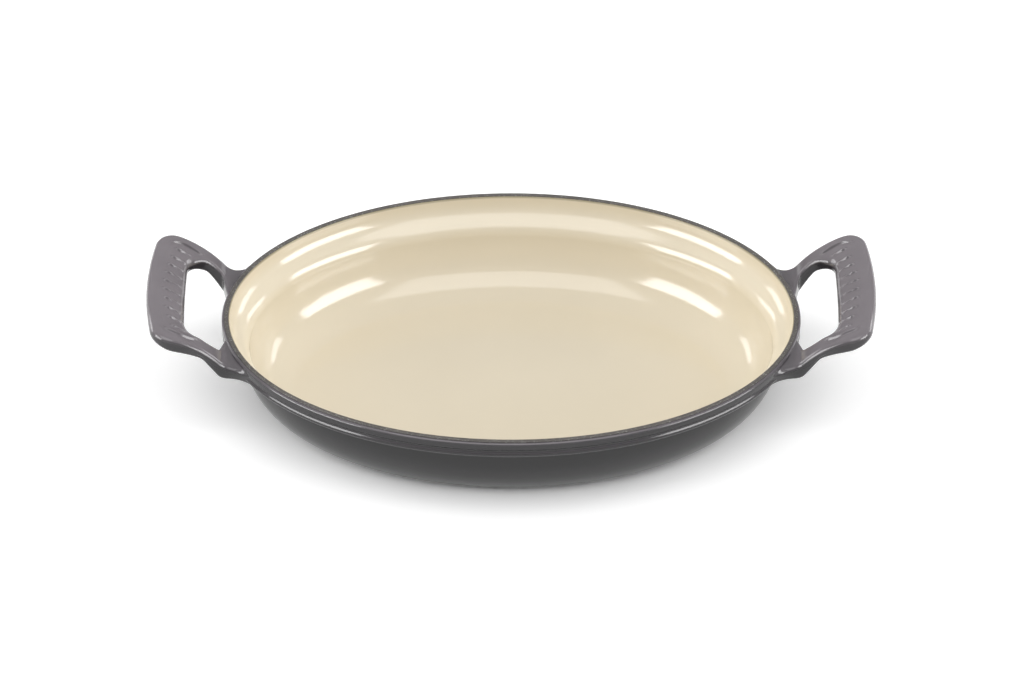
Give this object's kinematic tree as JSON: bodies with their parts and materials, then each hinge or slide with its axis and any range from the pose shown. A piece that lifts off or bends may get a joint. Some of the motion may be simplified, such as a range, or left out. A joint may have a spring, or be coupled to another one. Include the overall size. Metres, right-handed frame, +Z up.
{
  "type": "gratin dish",
  "caption": "Oval enamelled iron gratin dish with flared loop handles, for baking and serving",
  "frame": {"origin": "On the resting plane, below the middle of the dish", "axes": "+X along the long axis of the oval, through both handles; +Y across the dish, along the short axis; +Z up, from the foot to the rim"},
  "size_m": [0.3512, 0.1998, 0.0677],
  "materials": {
    "iron": "rough casting under the enamel",
    "interior_glaze": "glossy cream glass enamel",
    "exterior_glaze": "glossy dark aubergine-grey glass enamel",
    "rim_coat": "matt speckled ground-coat enamel",
    "foot_coat": "matt dark ground-coat enamel"
  },
  "bodies": {
    "root": {"iron_casting": "iron", "interior_enamel": "interior_glaze", "exterior_enamel": "exterior_glaze", "rim_enamel": "rim_coat", "foot_enamel": "foot_coat"}
  },
  "joints": []
}
